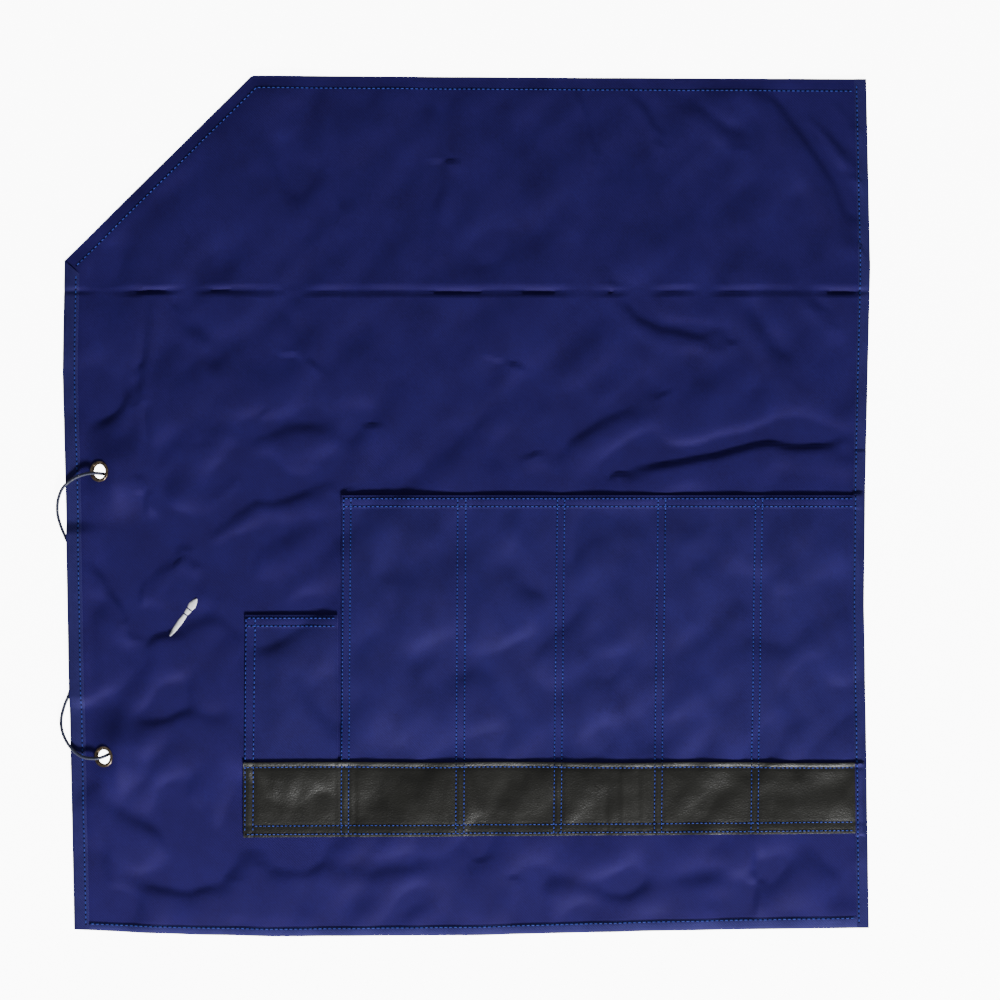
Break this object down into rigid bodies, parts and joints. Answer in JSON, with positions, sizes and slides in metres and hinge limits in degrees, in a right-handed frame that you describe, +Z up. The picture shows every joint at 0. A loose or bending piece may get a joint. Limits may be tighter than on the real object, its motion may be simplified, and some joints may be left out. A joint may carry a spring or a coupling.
{
  "type": "brush roll case",
  "caption": "Roll-up case of twill cloth, lying open, with sewn brush pockets, a leather band over their bottoms, a fold-down top flap and an elastic tie cord.",
  "frame": {"origin": "centre of the open case's footprint, on the surface it lies on", "axes": "+Z up, the side with the pockets; +Y up the case, towards the top flap; +X across it, towards the right hem"},
  "size_m": [0.5046, 0.5332, 0.0075],
  "materials": {
    "twill": "matte cotton twill",
    "pocket_twill": "matte cotton twill",
    "hem_twill": "matte cotton twill",
    "leather": "satin grained leather",
    "brass": "antique, worn",
    "elastic": "braided cover over elastic"
  },
  "bodies": {
    "margin": {"panel_margin": "twill", "hem_left": "hem_twill", "hem_bottom_0": "hem_twill", "eyelet_upper": "brass", "eyelet_lower": "brass", "washer_upper": "brass", "washer_lower": "brass", "knot_upper": "elastic", "knot_lower": "elastic", "cord": "elastic"},
    "column_1": {"panel_1": "twill", "hem_bottom_1": "hem_twill"},
    "column_2": {"panel_2": "twill", "hem_bottom_2": "hem_twill", "pocket_short": "pocket_twill", "pocket_short_hem": "hem_twill", "leather_short": "leather"},
    "column_3": {"panel_3": "twill", "hem_bottom_3": "hem_twill", "pocket_1": "pocket_twill", "pocket_1_hem": "hem_twill", "leather_1": "leather"},
    "column_4": {"panel_4": "twill", "hem_bottom_4": "hem_twill", "pocket_2": "pocket_twill", "pocket_2_hem": "hem_twill", "leather_2": "leather"},
    "column_5": {"panel_5": "twill", "hem_bottom_5": "hem_twill", "pocket_3": "pocket_twill", "pocket_3_hem": "hem_twill", "leather_3": "leather"},
    "column_6": {"panel_6": "twill", "hem_bottom_6": "hem_twill", "pocket_4": "pocket_twill", "pocket_4_hem": "hem_twill", "leather_4": "leather"},
    "column_7": {"panel_7": "twill", "hem_bottom_7": "hem_twill", "pocket_5": "pocket_twill", "pocket_5_hem": "hem_twill", "leather_5": "leather", "hem_right": "hem_twill"},
    "flap_strip_margin": {"flap_margin": "twill", "hem_left_flap": "hem_twill"},
    "flap_strip_1": {"flap_1": "twill"},
    "flap_strip_2": {"flap_2": "twill"},
    "flap_strip_3": {"flap_3": "twill"},
    "flap_strip_4": {"flap_4": "twill"},
    "flap_strip_5": {"flap_5": "twill"},
    "flap_strip_6": {"flap_6": "twill"},
    "flap_strip_7": {"flap_7": "twill", "hem_right_flap": "hem_twill"}
  },
  "joints": [
    {"name": "roll_up", "type": "hinge", "parent": "margin", "child": "column_1", "pos_m": [-0.2006, -0.0665, 0.00045], "axis": [0, -1, 0], "range_deg": [0, 45]},
    {"name": "roll_up_2", "type": "hinge", "parent": "column_1", "child": "column_2", "pos_m": [-0.1395, -0.0665, 0.00045], "axis": [0, -1, 0], "range_deg": [0, 49]},
    {"name": "roll_up_3", "type": "hinge", "parent": "column_2", "child": "column_3", "pos_m": [-0.0789, -0.0665, 0.00045], "axis": [0, -1, 0], "range_deg": [0, 54]},
    {"name": "roll_up_4", "type": "hinge", "parent": "column_3", "child": "column_4", "pos_m": [-0.0034, -0.0665, 0.00045], "axis": [0, -1, 0], "range_deg": [0, 58]},
    {"name": "roll_up_5", "type": "hinge", "parent": "column_4", "child": "column_5", "pos_m": [0.0574, -0.0665, 0.00045], "axis": [0, -1, 0], "range_deg": [0, 62]},
    {"name": "roll_up_6", "type": "hinge", "parent": "column_5", "child": "column_6", "pos_m": [0.1197, -0.0665, 0.00045], "axis": [0, -1, 0], "range_deg": [0, 65]},
    {"name": "roll_up_7", "type": "hinge", "parent": "column_6", "child": "column_7", "pos_m": [0.1796, -0.0665, 0.00045], "axis": [0, -1, 0], "range_deg": [0, 68]},
    {"name": "flap_fold", "type": "hinge", "parent": "column_3", "child": "flap_strip_3", "pos_m": [-0.04115, 0.1333, 0.0032], "axis": [1, 0, 0], "range_deg": [0, 178]},
    {"name": "flap_fold_0", "type": "hinge", "parent": "margin", "child": "flap_strip_margin", "pos_m": [-0.2248, 0.1333, 0.0032], "axis": [1, 0, 0], "range_deg": [0, 178]},
    {"name": "flap_fold_1", "type": "hinge", "parent": "column_1", "child": "flap_strip_1", "pos_m": [-0.17005, 0.1333, 0.0032], "axis": [1, 0, 0], "range_deg": [0, 178]},
    {"name": "flap_fold_2", "type": "hinge", "parent": "column_2", "child": "flap_strip_2", "pos_m": [-0.1092, 0.1333, 0.0032], "axis": [1, 0, 0], "range_deg": [0, 178]},
    {"name": "flap_fold_4", "type": "hinge", "parent": "column_4", "child": "flap_strip_4", "pos_m": [0.027, 0.1333, 0.0032], "axis": [1, 0, 0], "range_deg": [0, 178]},
    {"name": "flap_fold_5", "type": "hinge", "parent": "column_5", "child": "flap_strip_5", "pos_m": [0.08855, 0.1333, 0.0032], "axis": [1, 0, 0], "range_deg": [0, 178]},
    {"name": "flap_fold_6", "type": "hinge", "parent": "column_6", "child": "flap_strip_6", "pos_m": [0.14965, 0.1333, 0.0032], "axis": [1, 0, 0], "range_deg": [0, 178]},
    {"name": "flap_fold_7", "type": "hinge", "parent": "column_7", "child": "flap_strip_7", "pos_m": [0.21455, 0.1333, 0.0032], "axis": [1, 0, 0], "range_deg": [0, 178]}
  ],
  "couplings": [
    {"joint": "roll_up_2", "follows": "roll_up", "ratio": 1.0888},
    {"joint": "roll_up_3", "follows": "roll_up", "ratio": 1.2},
    {"joint": "roll_up_4", "follows": "roll_up", "ratio": 1.2888},
    {"joint": "roll_up_5", "follows": "roll_up", "ratio": 1.3777},
    {"joint": "roll_up_6", "follows": "roll_up", "ratio": 1.4444},
    {"joint": "roll_up_7", "follows": "roll_up", "ratio": 1.5111},
    {"joint": "flap_fold_0", "follows": "flap_fold", "ratio": 1},
    {"joint": "flap_fold_1", "follows": "flap_fold", "ratio": 1},
    {"joint": "flap_fold_2", "follows": "flap_fold", "ratio": 1},
    {"joint": "flap_fold_4", "follows": "flap_fold", "ratio": 1},
    {"joint": "flap_fold_5", "follows": "flap_fold", "ratio": 1},
    {"joint": "flap_fold_6", "follows": "flap_fold", "ratio": 1},
    {"joint": "flap_fold_7", "follows": "flap_fold", "ratio": 1}
  ]
}
